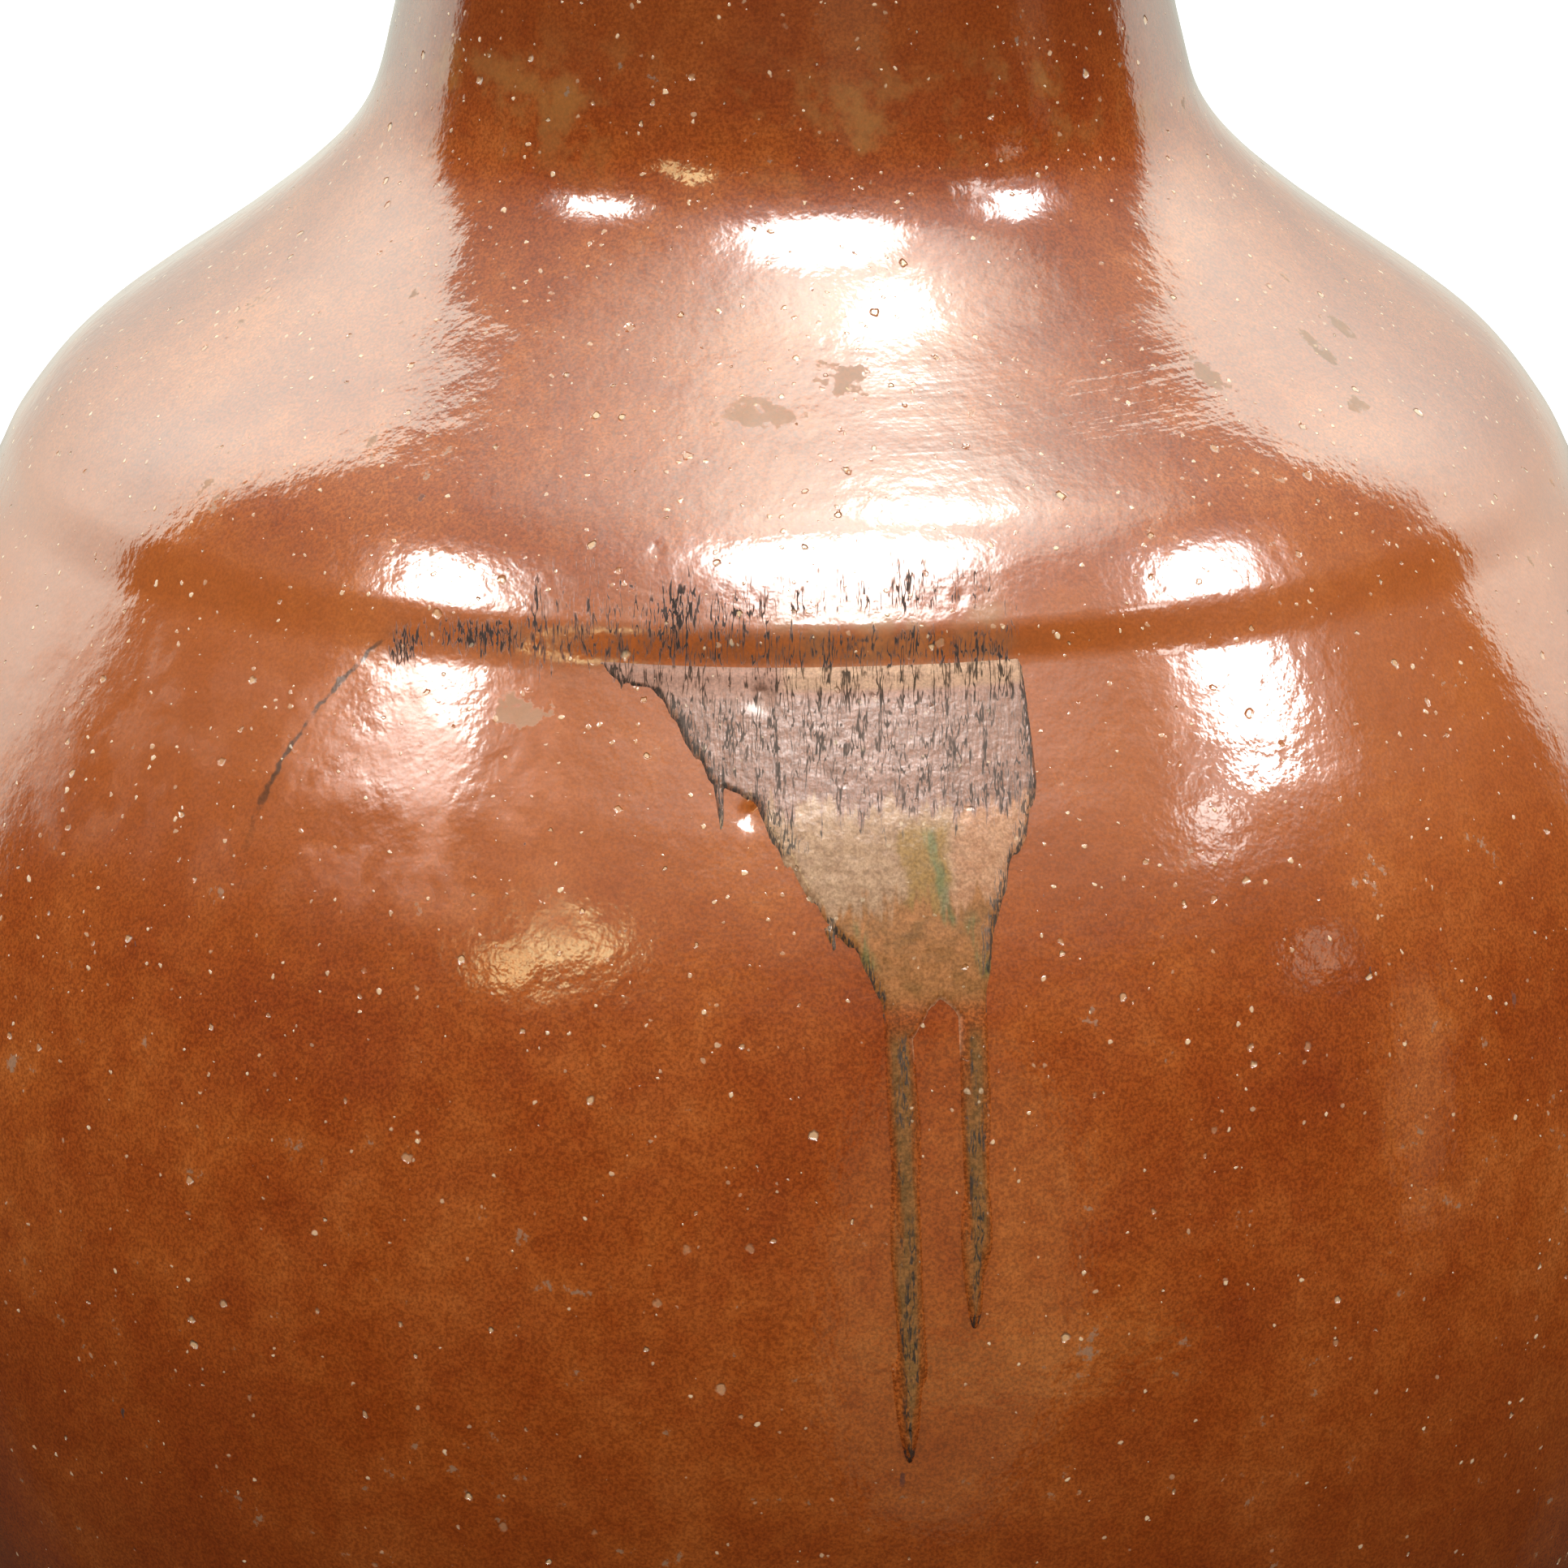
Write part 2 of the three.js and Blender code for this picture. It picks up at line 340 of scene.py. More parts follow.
def make_mesh(name, points, normals, faces, masks, material, body, node):
    """A mesh object in metres from points in millimetres, with given vertex normals."""
    mesh = bpy.data.meshes.new(name)
    mesh.from_pydata(points * MM, [], faces)
    mesh.validate()
    mesh.polygons.foreach_set("use_smooth", np.ones(len(mesh.polygons), bool))
    mesh.normals_split_custom_set_from_vertices(normals)
    for mask, values in masks.items():
        mesh.attributes.new(mask, "FLOAT", "POINT").data.foreach_set("value", values.astype(np.float32))
    mesh.materials.append(material)
    piece = bpy.data.objects.new(name, mesh)
    bpy.context.scene.collection.objects.link(piece)
    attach(piece, body)
    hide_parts(node)
    return piece


def ring_faces(row_count, column_count, closed):
    """Quads between rows of a ring, the last row joined to the first where it is closed."""
    row = np.arange(row_count if closed else row_count - 1)[:, None]
    column = np.arange(column_count)[None, :]
    below = row % row_count
    above = (row + 1) % row_count
    right = (column + 1) % column_count
    quads = [below * column_count + column, below * column_count + right,
             above * column_count + right, above * column_count + column]
    return np.stack(quads, axis=2).reshape(-1, 4)


def skins(stretches, theta):
    """Points and normals of stretches of outline: (outline, rows, relief, side) each."""
    points = np.concatenate([skin(line, s, theta, relief) for line, s, relief, _ in stretches])
    normals = np.concatenate([skin_normals(*part[:2], theta, *part[2:]) for part in stretches])
    return points, normals


def ring_piece(name, stretches, theta, material):
    """A closed ring of wall, with its masks."""
    points, normals = skins(stretches, theta)
    faces = ring_faces(len(points), len(theta), True)
    flat = points.reshape(-1, 3)
    return make_mesh(name + "_clay", flat, normals.reshape(-1, 3), faces.tolist(), wall_masks(flat),
                     material, "bottle", name)


def capped_piece(name, piece_name, line_points, normals, material, body):
    """A turned solid whose first and last rows close on the axis."""
    row_count, column_count = line_points.shape[:2]
    faces = ring_faces(row_count, column_count, False).tolist()
    first = row_count * column_count
    last_row = (row_count - 1) * column_count
    for column in range(column_count):
        right = (column + 1) % column_count
        faces.append((first, right, column))
        faces.append((first + 1, last_row + column, last_row + right))
    ends = np.array([line_points[0].mean(axis=0), line_points[-1].mean(axis=0)])
    end_normals = np.array([[0, 0, -1.0], [0, 0, 1.0]])
    points = np.concatenate([line_points.reshape(-1, 3), ends])
    normals = np.concatenate([normals.reshape(-1, 3), end_normals])
    return make_mesh(piece_name, points, normals, faces, {}, material, body, name)


# ---- ash: where it lies

# Left and right edge of the sheet of ash: height and angle
SHEET_LEFT = ((95, 5.6), (98.8, 4.3), (101.1, 2.5), (103.4, 1), (106.8, -0.7), (109.7, -2.1),
              (111.1, -5), (115.2, -7.6), (117.2, -9.3), (117.7, -12), (119, -13.6), (122, -15))
SHEET_RIGHT = ((94, 11.5), (101.2, 12.9), (104.5, 13.9), (106.7, 15.3), (110.5, 16.5), (121, 17.2))
# Lower edge of the sheet, which arches between the two long drips: angle and height
SHEET_BOTTOM = ((5, 91.2), (7.5, 92.6), (8.2, 94.6), (8.9, 95.3), (9.6, 94.9), (10.4, 93.6), (12, 92.8))
# Drips: angle and height where each begins, angle and height of its tip, half width, taper
DRIPS = (
    (6.5, 96.5, 7.1, 59.2, 1.35, 8),
    (10.9, 96.5, 10.6, 70, 1.3, 7),
    (-4.3, 112, -3.8, 106.8, 0.75, 6),
    (-11.4, 119.5, -11.1, 116.7, 0.8, 3),
    (2.6, 101, 3.1, 98.4, 0.6, 3),
)
RUN_SPREAD = (-16, 19)
RUN_HEIGHTS = (57, 120.5)
# Its thickness at heights, and how dark the long drips are at heights over their tips
ASH_THICKNESS = ((60, 0.6), (63, 0.42), (75, 0.34), (94, 0.32), (100, 0.34), (112, 0.2), (118.3, 0.14),
                 (119.3, -0.1))
DRIP_DARKNESS = ((0, 1), (1.2, 0.95), (3, 0.74), (9, 0.66), (16, 0.56), (21, 0.4), (30, 0.6))
EDGE_LOBES = (0.9, 1.3, 1.9, 2.7, 4.1)
EDGE_SEED = 21


def across(theta, height):
    """Millimetres around the wall from the front, at a height."""
    radius = np.interp(height, outside.z, outside.r)
    return np.radians(theta) * radius


def ragged(theta, height):
    """Vertical lobes for the ash's torn edge, about -1 to 1."""
    rng = np.random.default_rng(EDGE_SEED)
    x = across(theta, height)
    total = np.zeros(x.shape)
    for length in EDGE_LOBES:
        drift = rng.uniform(6, 14)
        total += np.sin(2 * np.pi * (x / length + height / drift) + rng.uniform(0, 6))
    return total / 2.3


def ash_depth(theta, height):
    """Distance in from the edge of the ash run, negative outside it."""
    left = np.interp(height, *zip(*SHEET_LEFT))
    right = np.interp(height, *zip(*SHEET_RIGHT))
    x = across(theta, height)
    sheet = np.minimum(0.8 * (x - across(left, height)), across(right, height) - x)
    depth = np.minimum(sheet, height - np.interp(theta, *zip(*SHEET_BOTTOM)))
    for angle, start, tip_angle, tip, half, taper in DRIPS:
        middle = np.interp(height, (tip, start), (tip_angle, angle))
        width = half * np.sqrt(np.clip((height - tip) / taper, 0, 1))
        drip = np.where(height < start, width - np.abs(x - across(middle, height)), -9)
        depth = np.maximum(depth, np.where(height > tip, drip, -9))
    return depth + 0.16 * ragged(theta, height)


# Where soot gathers over the groove: angle, height, half width and half height in millimetres
SOOT = (
    (-7.7, 122, 2.2, 3.2),
    (9, 121.8, 2, 3.4),
    (-21, 119.9, 5, 1.3),
    (-27, 118.6, 1.8, 1.6),
)
# Thin matte patches of ash: angle, height, half width and half height in millimetres
FILM = (
    (5.7, 136.8, 2.6, 1.1),
    (-2.1, 134.6, 2.6, 0.9),
    (-17.9, 114.8, 2, 0.9),
    (43.2, 134.6, 1.1, 1.1),
    (59.4, 133.7, 0.9, 1),
    (66, 134.6, 0.8, 1),
    (56.7, 130.5, 1.1, 0.6),
)


def spots(theta, height, places):
    """The strongest of some soft oval spots at each point."""
    best = np.zeros(theta.shape)
    for angle, middle, half_width, half_height in places:
        aside = (across(theta, height) - across(angle, height)) / half_width
        away = aside**2 + ((height - middle) / half_height) ** 2
        best = np.maximum(best, np.exp(-0.8 * away))
    return best


def wall_masks(points):
    """Where soot streaks, pale ash with a painted highlight along the shoulder's ledge, matte film and bare
    clay lie on the wall.
    """
    x, y, height = points.T
    theta = np.degrees(np.arctan2(x, -y))
    radius = np.hypot(x, y)
    outer = smoothstep(radius - np.interp(height, outside.z, outside.r), -2.5, -1.5)
    band = hill(theta, -23, -17, 15, 18)
    over_groove = hill(height, GROOVE - 4, GROOVE, 121.5, 128.5)
    soot = outer * np.maximum(0.6 * band * over_groove, spots(theta, height, SOOT))
    # Pale ash over the groove, and along the shoulder's ledge a beige strip that is partly ash and partly
    # painted highlight
    strip = hill(theta, -3, 2, 14, 17)
    ledge = hill(height, 120.9, 121.4, 122.2, 123.2)
    veil_and_highlight = outer * strip * np.maximum(ledge, 0.4 * over_groove)
    film = outer * spots(theta, height, FILM)
    edge = 11 + 1.6 * np.sin(np.radians(theta * 2) + 1) + 0.9 * np.sin(np.radians(theta * 5))
    bare = outer * (1 - smoothstep(height, edge - 0.5, edge + 0.5))
    soot *= 1 - 0.6 * strip * ledge
    return {"soot": soot, "veil_and_highlight": veil_and_highlight, "film": film, "bare": bare}


# ---- material nodes


def srgb(red, green, blue):
    """A display colour, 0 to 255, as a linear RGBA."""
    values = [c / 255 for c in (red, green, blue)]
    return (*[c / 12.92 if c <= 0.04045 else ((c + 0.055) / 1.055) ** 2.4 for c in values], 1)


class Nodes:
    """Short calls that add nodes to a tree."""

    def __init__(self, tree):
        self.tree = tree
        tree.nodes.clear()

    def add(self, kind, inputs=None, **settings):
        """A node with its inputs, values or sockets, and its settings."""
        node = self.tree.nodes.new(kind)
        for key, value in settings.items():
            setattr(node, key, value)
        for key, value in (inputs or {}).items():
            self.plug(node.inputs[key], value)
        return node

    def plug(self, socket, value):
        """Feed an input from another node's socket, or give it a value."""
        if isinstance(value, bpy.types.NodeSocket):
            self.tree.links.new(value, socket)
        else:
            socket.default_value = value

    def calc(self, operation, a, b=0.0, c=0.0):
        """Arithmetic on values."""
        node = self.add("ShaderNodeMath", {0: a, 1: b, 2: c}, operation=operation)
        return node.outputs[0]

    def minus(self, a, b):
        """One value less another."""
        return self.calc("SUBTRACT", a, b)

    def times(self, a, b):
        """Product of two values."""
        return self.calc("MULTIPLY", a, b)

    def times_plus(self, a, b, c):
        """Product of two values, plus a third."""
        return self.calc("MULTIPLY_ADD", a, b, c)

    def vector(self, operation, a, b, c=(0, 0, 0)):
        """A node of arithmetic on vectors."""
        return self.add("ShaderNodeVectorMath", {0: a, 1: b, 2: c}, operation=operation)

    def scaled(self, vector, factor):
        """A vector or colour times a factor."""
        settings = {0: vector, "Scale": factor}
        return self.add("ShaderNodeVectorMath", settings, operation="SCALE").outputs[0]

    def object_place(self, stretch=(1, 1, 1)):
        """Object coordinates in millimetres, squeezed along each axis."""
        place = self.add("ShaderNodeTexCoord").outputs["Object"]
        scale = tuple(factor / MM for factor in stretch)
        return self.add("ShaderNodeMapping", {"Vector": place, "Scale": scale}).outputs[0]

    def parts(self, vector):
        """The three parts of a vector."""
        return self.add("ShaderNodeSeparateXYZ", {0: vector}).outputs

    def noise(self, place, size, detail=2.0, roughness=0.5, distortion=0.0):
        """Noise, 0 to 1 around 0.5, whose blotches are about a size across."""
        settings = {"Vector": place, "Scale": 1 / size, "Detail": detail, "Roughness": roughness,
                    "Distortion": distortion}
        return self.add("ShaderNodeTexNoise", settings).outputs["Fac"]

    def cells(self, place, size):
        """Distance from the nearest random point, in millimetres, and its random colour."""
        node = self.add("ShaderNodeTexVoronoi", {"Vector": place, "Scale": 1 / size})
        return self.times(node.outputs["Distance"], size), node.outputs["Color"]

    def step(self, value, start, end, low_value=0.0, high_value=1.0):
        """Soft change from a low to a high value while a value goes from start to end."""
        settings = {"Value": value, "From Min": start, "From Max": end,
                    "To Min": low_value, "To Max": high_value}
        node = self.add("ShaderNodeMapRange", settings, interpolation_type="SMOOTHSTEP")
        return node.outputs[0]

    def between(self, value, start, end, soft):
        """1 between two values, with a soft change at both."""
        begun = self.step(value, start - soft, start + soft)
        return self.times(begun, self.step(value, end + soft, end - soft))

    def ramp(self, value, *stops):
        """Colour of a value from stops: position and colour each."""
        node = self.add("ShaderNodeValToRGB", {"Fac": value})
        elements = node.color_ramp.elements
        while len(elements) < len(stops):
            elements.new(0.5)
        for element, (position, colour) in zip(elements, stops):
            element.position = position
            element.color = colour
        return node.outputs["Color"]

    def mix(self, factor, a, b, blend="MIX"):
        """Colour a with a share of colour b."""
        node = self.add("ShaderNodeMix", {0: factor, 6: a, 7: b}, data_type="RGBA", blend_type=blend)
        return node.outputs[2]

    def tint(self, colour, mask, share, shade):
        """A colour with a share of a shade, 0 to 255, where a mask is 1."""
        return self.mix(self.times(mask, share), colour, srgb(*shade))

    def mask(self, name):
        """A mask kept on the mesh's points."""
        return self.add("ShaderNodeAttribute", attribute_name=name).outputs["Fac"]

    def bump(self, height, depth, normal=None):
        """A bump whose height of 0 to 1 stands for a depth in millimetres."""
        inputs = {"Height": height, "Distance": depth * MM, "Strength": 1.0}
        if normal is not None:
            inputs["Normal"] = normal
        return self.add("ShaderNodeBump", inputs).outputs[0]

    def surface(self, **inputs):
        """The shader and the output."""
        shader = self.add("ShaderNodeBsdfPrincipled", {k.replace("_", " "): v for k, v in inputs.items()})
        output = self.add("ShaderNodeOutputMaterial")
        self.tree.links.new(shader.outputs[0], output.inputs["Surface"])


def new_material(name):
    """An empty material and its nodes."""
    material = bpy.data.materials.new(name)
    material.use_nodes = True
    return material, Nodes(material.node_tree)


def flecks(n, place, spacing, smallest, largest, share):
    """Mask of round flecks, mostly small, on a share of random points; some are fainter."""
    away, colour = n.cells(place, spacing)
    red, green, blue = n.add("ShaderNodeSeparateColor", {0: colour}).outputs
    size = n.times_plus(n.calc("POWER", red, 2.2), largest - smallest, smallest)
    picked = n.times(n.calc("LESS_THAN", green, share), n.step(blue, 0, 1, 0.3, 1))
    return n.times(n.step(n.calc("DIVIDE", away, size), 1.15, 0.6), picked)


def glaze_specks(n, place, height):
    """Masks of pale specks and of pits with a pale rim, both partly pale grit and partly painted glints, and
    of dark specks and short hairs.
    """
    shaken = n.add("ShaderNodeTexNoise", {"Vector": place, "Scale": 1.6, "Detail": 1.0}).outputs["Color"]
    shift = n.vector("ADD", shaken, (-0.5, -0.5, -0.5)).outputs[0]
    moved = n.vector("MULTIPLY_ADD", shift, (0.5, 0.5, 0.5), place).outputs[0]
    fine = flecks(n, moved, 1.0, 0.09, 0.24, n.step(height, 60, 132, 0.2, 0.6))
    pits = flecks(n, moved, 2.4, 0.16, 0.42, n.step(height, 60, 132, 0.26, 0.62))
    slant = n.add("ShaderNodeMapping", {"Vector": moved, "Rotation": (0.5, 0.4, 0), "Scale": (1, 1, 0.3)})
    hairs = flecks(n, slant.outputs[0], 4.3, 0.1, 0.27, n.step(height, 80, 125, 0.3, 0.6))
    return fine, pits, hairs


def soot_hairs(n, fall, amount):
    """Mask of fine upright dashes that crowd together and close up as the amount rises to 1."""
    field = n.noise(fall, 0.31, 1, 0.5)
    thin = n.step(n.calc("ABSOLUTE", n.minus(field, 0.5)), 0.07, 0.02)
    breaks = n.times_plus(amount, 0.4, n.noise(fall, 0.8, 3, 0.75))
    dashes = n.times(thin, n.step(breaks, 0.66, 0.8))
    clumps = n.times_plus(n.minus(amount, 1.0), 0.6, n.noise(fall, 0.26, 3, 0.65))
    either = n.calc("MAXIMUM", dashes, n.step(clumps, 0.45, 0.5))
    return n.times(either, n.step(amount, 0.02, 0.2))


def trail_mask(n, parts, wander):
    """The thin dark run that leaves the groove on the left and slants outwards as it falls."""
    fall = n.minus(GROOVE, parts[2])
    slope = n.minus(1.13, n.times(fall, 0.027))
    middle = n.minus(-30.2, n.times(fall, slope))
    off = n.calc("ADD", n.minus(parts[0], middle), wander)
    line = n.step(n.calc("ABSOLUTE", off), 0.28, 0.08)
    reach = n.times(n.step(fall, 0, 1.5), n.step(fall, 18, 10))
    return n.times(n.times(line, reach), n.calc("LESS_THAN", parts[1], 0))


def slip_colour(n, place, height):
    """Mottled red-brown, darker on the neck, with painted shade towards the foot and painted light below the
    groove, and the patches and leathery grain in it.
    """
    patch = n.noise(place, 6, 3, 0.6, 0.4)
    leather = n.noise(place, 1.5, 3, 0.65)
    cloud = n.noise(place, 24, 3, 0.55, 0.3)
    sag = n.noise(n.object_place((1, 1, 0.3)), 9, 2, 0.5)
    brushed = n.noise(n.object_place((0.06, 0.06, 1)), 2.6, 3, 0.6)
    tone = n.times_plus(cloud, 0.34, n.times(patch, 0.24))
    tone = n.times_plus(leather, 0.2, tone)
    tone = n.times_plus(sag, 0.16, tone)
    tone = n.times_plus(brushed, 0.06, tone)
    colour = n.ramp(tone, (0.36, srgb(126, 50, 11)), (0.47, srgb(139, 62, 16)),
                    (0.54, srgb(149, 72, 22)), (0.63, srgb(162, 86, 33)))
    grain = n.ramp(n.noise(place, 0.26, 1, 0.7), (0.34, (0.74, 0.7, 0.64, 1)),
                   (0.66, (1.26, 1.3, 1.36, 1)))
    colour = n.mix(1.0, colour, grain, "MULTIPLY")
    # The slip is thicker on the neck, with olive clouds in it
    colour = n.mix(n.step(height, 147, 160, 0.0, 0.48), colour, srgb(98, 42, 12))
    olive = n.step(n.noise(place, 7, 4, 0.65), 0.5, 0.66)
    olive = n.times(olive, n.between(height, 150, 158, 4))
    colour = n.tint(colour, olive, 0.5, (152, 106, 52))
    # Painted shade darkens the slip towards the foot
    colour = n.mix(n.step(height, 82, 20, 0.0, 0.55), colour, srgb(98, 44, 18))
    # Painted light: the slip is lighter on the upward-facing wall below the groove
    thin = n.times(n.step(height, 90, 112), n.step(height, 128, 120))
    return n.tint(colour, thin, 0.45, (174, 98, 44)), patch, leather


def ash_on_slip(n, place, parts, patch, leather, colour):
    """The slip's colour with the ash and soot on it, and masks of streaks, matte film and smears."""
    height = parts[2]
    streak = soot_hairs(n, n.object_place((1, 0, 0.2)), n.mask("soot"))
    # Pale ash, with a painted highlight on the shoulder's ledge
    veil_and_highlight = n.times(n.mask("veil_and_highlight"), n.step(patch, 0.35, 0.6))
    colour = n.tint(colour, veil_and_highlight, 0.7, (160, 122, 84))
    torn = n.times_plus(n.minus(patch, 0.5), 1.4, n.mask("film"))
    film = n.step(n.times_plus(n.minus(leather, 0.5), 1.6, torn), 0.4, 0.56)
    ragged = n.times(film, n.step(leather, 0.36, 0.5))
    film_colour = n.mix(n.step(height, 128, 132), srgb(138, 112, 84), srgb(112, 100, 80))
    colour = n.mix(n.times(ragged, 0.6), colour, film_colour)
    smear = n.times(n.mask("soot"), n.step(leather, 0.38, 0.62))
    colour = n.tint(colour, smear, 0.42, (70, 52, 32))
    colour = n.tint(colour, streak, 0.95, (20, 18, 14))
    wander = n.times(n.minus(n.noise(place, 1.6, 2), 0.5), 1.1)
    trail = n.times(trail_mask(n, parts, wander), n.step(leather, 0.32, 0.5))
    colour = n.tint(colour, trail, 0.8, (44, 36, 24))
    return colour, streak, ragged, smear


def red_slip_glaze():
    """Glossy red-brown slip: mottled, pitted, with ash and soot where the masks say."""
    material, n = new_material("red_slip_glaze")
    place = n.object_place()
    parts = n.parts(place)
    height = parts[2]
    colour, patch, leather = slip_colour(n, place, height)
    colour, streak, ragged, smear = ash_on_slip(n, place, parts, patch, leather, colour)

    fine, pits, hairs = glaze_specks(n, place, height)
    # Pale specks and pit rims: partly pale grit, partly painted glints from tiny craters
    colour = n.tint(colour, fine, 0.8, (236, 206, 164))
    colour = n.tint(colour, pits, 0.66, (226, 190, 144))
    colour = n.tint(colour, hairs, 0.85, (40, 26, 20))

    bare = n.mask("bare")
    clay = n.ramp(n.noise(place, 1.4, 4, 0.7), (0.3, srgb(112, 66, 42)), (0.7, srgb(158, 102, 70)))
    colour = n.mix(bare, colour, clay)

    gloss = n.step(n.noise(place, 9, 2), 0.3, 0.7, 0.08, 0.14)
    rough = n.times_plus(n.calc("MAXIMUM", streak, hairs), 0.75, gloss)
    rough = n.times_plus(ragged, 0.4, rough)
    rough = n.times_plus(smear, 0.16, rough)
    # A breath of ash dulls patches of the wall to the left of the run
    breath = n.times(n.between(height, 100, 116, 3), n.step(parts[0], -12, -18))
    dull = n.times(breath, n.step(patch, 0.41, 0.6, 0.03, 0.17))
    rough = n.calc("ADD", dull, rough)
    rough = n.times_plus(bare, 0.7, rough)

    frost = n.bump(n.noise(place, 0.5, 1), 0.009)
    peel = n.bump(n.noise(place, 1.7, 3, 0.52), 0.05, frost)
    dents = n.bump(n.minus(1.0, pits), 0.17, peel)
    combed = n.noise(n.object_place((0.04, 0.04, 1)), 0.55, 2, 0.6)
    comb = n.times(n.between(height, 131, 138, 1.5), n.step(parts[0], 2, 12))
    lines = n.bump(n.times(combed, comb), 0.03, dents)
    warts = n.bump(fine, 0.04, lines)
    n.surface(Base_Color=colour, Roughness=rough, IOR=1.6, Normal=warts)
    return material


def ash_zones(n, place, fall, side, height):
    """Colour of the ash: pink above, beige with an olive tongue, brown where it thins out."""
    cloud = n.minus(n.noise(place, 3.4, 3, 0.6), 0.5)
    teeth = n.minus(n.noise(fall, 0.8, 2, 0.6), 0.5)
    drift = n.times_plus(cloud, 3.0, n.times_plus(teeth, 7.0, height))
    aside = n.times_plus(cloud, 4.0, side)
    pink = n.ramp(n.noise(fall, 1.2, 3, 0.6), (0.3, srgb(110, 68, 45)), (0.7, srgb(136, 94, 73)))
    stone = n.noise(place, 0.9, 3, 0.65)
    beige = n.ramp(stone, (0.35, srgb(146, 108, 77)), (0.65, srgb(168, 131, 97)))
    blush = n.ramp(stone, (0.35, srgb(158, 106, 70)), (0.65, srgb(176, 128, 92)))
    brown = n.ramp(n.noise(place, 1.6, 3, 0.6), (0.35, srgb(128, 84, 42)), (0.65, srgb(162, 104, 58)))
    colour = n.mix(n.step(aside, 12.4, 13.6), beige, blush)
    tongue = n.times(n.between(aside, 9, 12.6, 0.4), n.between(height, 100.5, 107.8, 0.6))
    colour = n.tint(colour, tongue, 0.85, (138, 100, 40))
    colour = n.mix(n.step(drift, 103.1, 101.6), colour, brown)
    colour = n.mix(n.step(drift, 108.2, 109.4), colour, pink)
    # At the top of the run the groove's upward-facing lower wall is beige: partly ash gathered there, partly
    # painted reflection of the bright room
    ledge = n.times(n.step(height, 116.7, 117.3), n.step(side, -1.0, 1.0))
    colour = n.mix(n.times(ledge, 0.75), colour, beige)
    # Green glass gathers in threads that lean to the right as they fall
    lean = n.times_plus(n.minus(height, 106.6), 0.27, side)
    shaky = n.times_plus(cloud, 1.2, lean)
    thread = n.times(n.between(shaky, 10.8, 11.7, 0.25), n.between(height, 100.8, 107.4, 0.5))
    left_thread = n.times(n.between(shaky, 3.8, 4.7, 0.4), n.between(height, 97.8, 101.2, 0.6))
    right_thread = n.times(n.between(shaky, 12.3, 13.2, 0.3), n.between(height, 97, 101.4, 0.6))
    green = n.calc("MAXIMUM", thread, n.calc("MAXIMUM", left_thread, right_thread))
    green = n.times(green, n.step(n.noise(fall, 0.7, 2, 0.6), 0.34, 0.58))
    return n.tint(colour, green, 0.7, (86, 98, 58)), drift


def ash_glaze():
    """Thin ash glaze with torn, sooty edges and olive-brown drips."""
    material, n = new_material("ash_glaze")
    place = n.object_place()
    fall = n.object_place((1, 0, 0.2))
    side, _, height = n.parts(place)
    colour, drift = ash_zones(n, place, fall, side, height)

    # Drips are an olive film that thins out into the red slip at their edges
    slip, _, _ = slip_colour(n, place, height)
    olive = n.ramp(n.noise(place, 0.7, 3, 0.7), (0.35, srgb(100, 66, 31)), (0.65, srgb(136, 86, 42)))
    drip = n.mix(n.mask("core"), slip, olive)
    colour = n.mix(n.step(height, 96.4, 93.6), colour, drip)

    dense = n.calc("MAXIMUM", n.step(drift, 106.8, 109.6, 0.0, 0.6), n.mask("fringe"))
    streak = soot_hairs(n, fall, n.calc("MAXIMUM", dense, n.mask("rim")))
    # Painted glint along the lower edge of the arch
    colour = n.tint(colour, n.mask("arch_glint"), 0.9, (200, 150, 112))
    colour = n.tint(colour, streak, 0.85, (26, 24, 16))
    fine, pits, hairs = glaze_specks(n, place, height)
    # Pale specks: partly pale grit, partly painted glints from tiny craters
    colour = n.tint(colour, fine, 0.5, (216, 190, 154))
    colour = n.tint(colour, hairs, 0.8, (36, 30, 24))
    grain = n.ramp(n.noise(place, 0.26, 1, 0.7), (0.34, (0.78, 0.76, 0.72, 1)),
                   (0.66, (1.22, 1.24, 1.28, 1)))
    colour = n.mix(1.0, colour, grain, "MULTIPLY")

    dull = n.times_plus(n.step(height, 115.8, 117.4), 0.3, n.step(drift, 98, 110, 0.12, 0.26))
    rough = n.times_plus(streak, 0.5, dull)
    peel = n.bump(n.noise(place, 1.4, 3, 0.55), 0.06)
    runs = n.bump(n.noise(fall, 0.5, 2, 0.6), 0.03, peel)
    dents = n.bump(n.minus(1.0, pits), 0.1, runs)
    n.surface(Base_Color=colour, Roughness=rough, IOR=1.55, Normal=dents)
    return material


def bare_clay():
    """Unglazed foot: red-brown fired clay with grit and a few pale stones."""
    material, n = new_material("bare_clay")
    place = n.object_place()
    turn = n.object_place((0.08, 0.08, 1))
    body = n.noise(place, 3.5, 4, 0.65)
    colour = n.ramp(body, (0.3, srgb(98, 56, 36)), (0.5, srgb(132, 80, 52)), (0.72, srgb(160, 106, 74)))
    away, _ = n.cells(place, 3.1)
    grit = n.step(away, 0.5, 0.25)
    colour = n.tint(colour, grit, 0.7, (206, 178, 142))
    sand = n.noise(place, 0.45, 3, 0.7)
    rough = n.step(sand, 0.2, 0.8, 0.72, 0.94)
    grain = n.bump(sand, 0.07)
    stones = n.bump(grit, 0.1, grain)
    trace = n.bump(n.noise(turn, 0.8, 2), 0.08, stones)
    n.surface(Base_Color=colour, Roughness=rough, IOR=1.5, Normal=trace)
    return material


